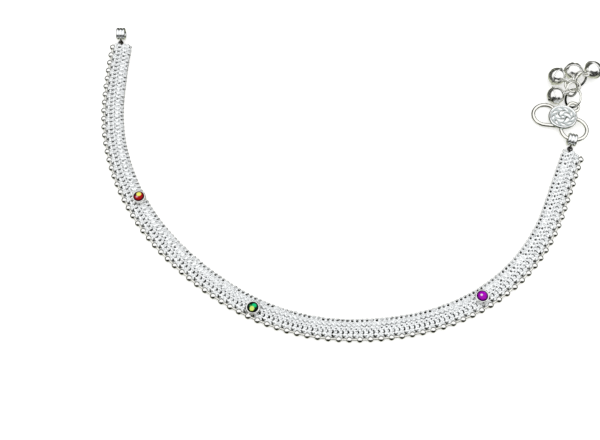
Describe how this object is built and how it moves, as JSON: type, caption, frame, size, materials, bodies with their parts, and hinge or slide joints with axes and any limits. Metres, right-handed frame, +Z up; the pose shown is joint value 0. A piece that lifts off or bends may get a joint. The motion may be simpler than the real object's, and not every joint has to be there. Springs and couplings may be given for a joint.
{
  "type": "payal anklet",
  "caption": "Silver payal anklet laid open: flat band of woven links edged with round beads, set stones, a wire hook clasp with a medallion, and jingle bells on jump rings.",
  "frame": {"origin": "middle of the footprint of the anklet as it lies open, on the surface that it rests on", "axes": "+Z up out of the surface; +X along the longest side of the footprint, towards the clasp; the band bows towards -Y"},
  "size_m": [0.1584, 0.1061, 0.0061],
  "materials": {
    "silver_links": "polished silver links, darkened in the gaps",
    "silver_wire": "polished round silver wire",
    "silver_clasp": "polished wire, satin stamped medallion",
    "silver_bell": "polished spun silver with fine dents",
    "red_glass": "foil-backed glass cabochon",
    "green_glass": "foil-backed glass cabochon",
    "magenta_glass": "foil-backed glass cabochon"
  },
  "bodies": {
    "root": {"band": "silver_links", "stone_red": "red_glass", "stone_green": "green_glass", "stone_magenta": "magenta_glass", "end_eye": "silver_wire", "clasp_eye": "silver_wire", "clasp": "silver_clasp", "jump_ring_1": "silver_wire", "jump_ring_2": "silver_wire", "jump_ring_3": "silver_wire", "jump_ring_4": "silver_wire", "bell_1": "silver_bell", "bell_2": "silver_bell", "bell_3": "silver_bell", "bell_4": "silver_bell"}
  },
  "joints": []
}
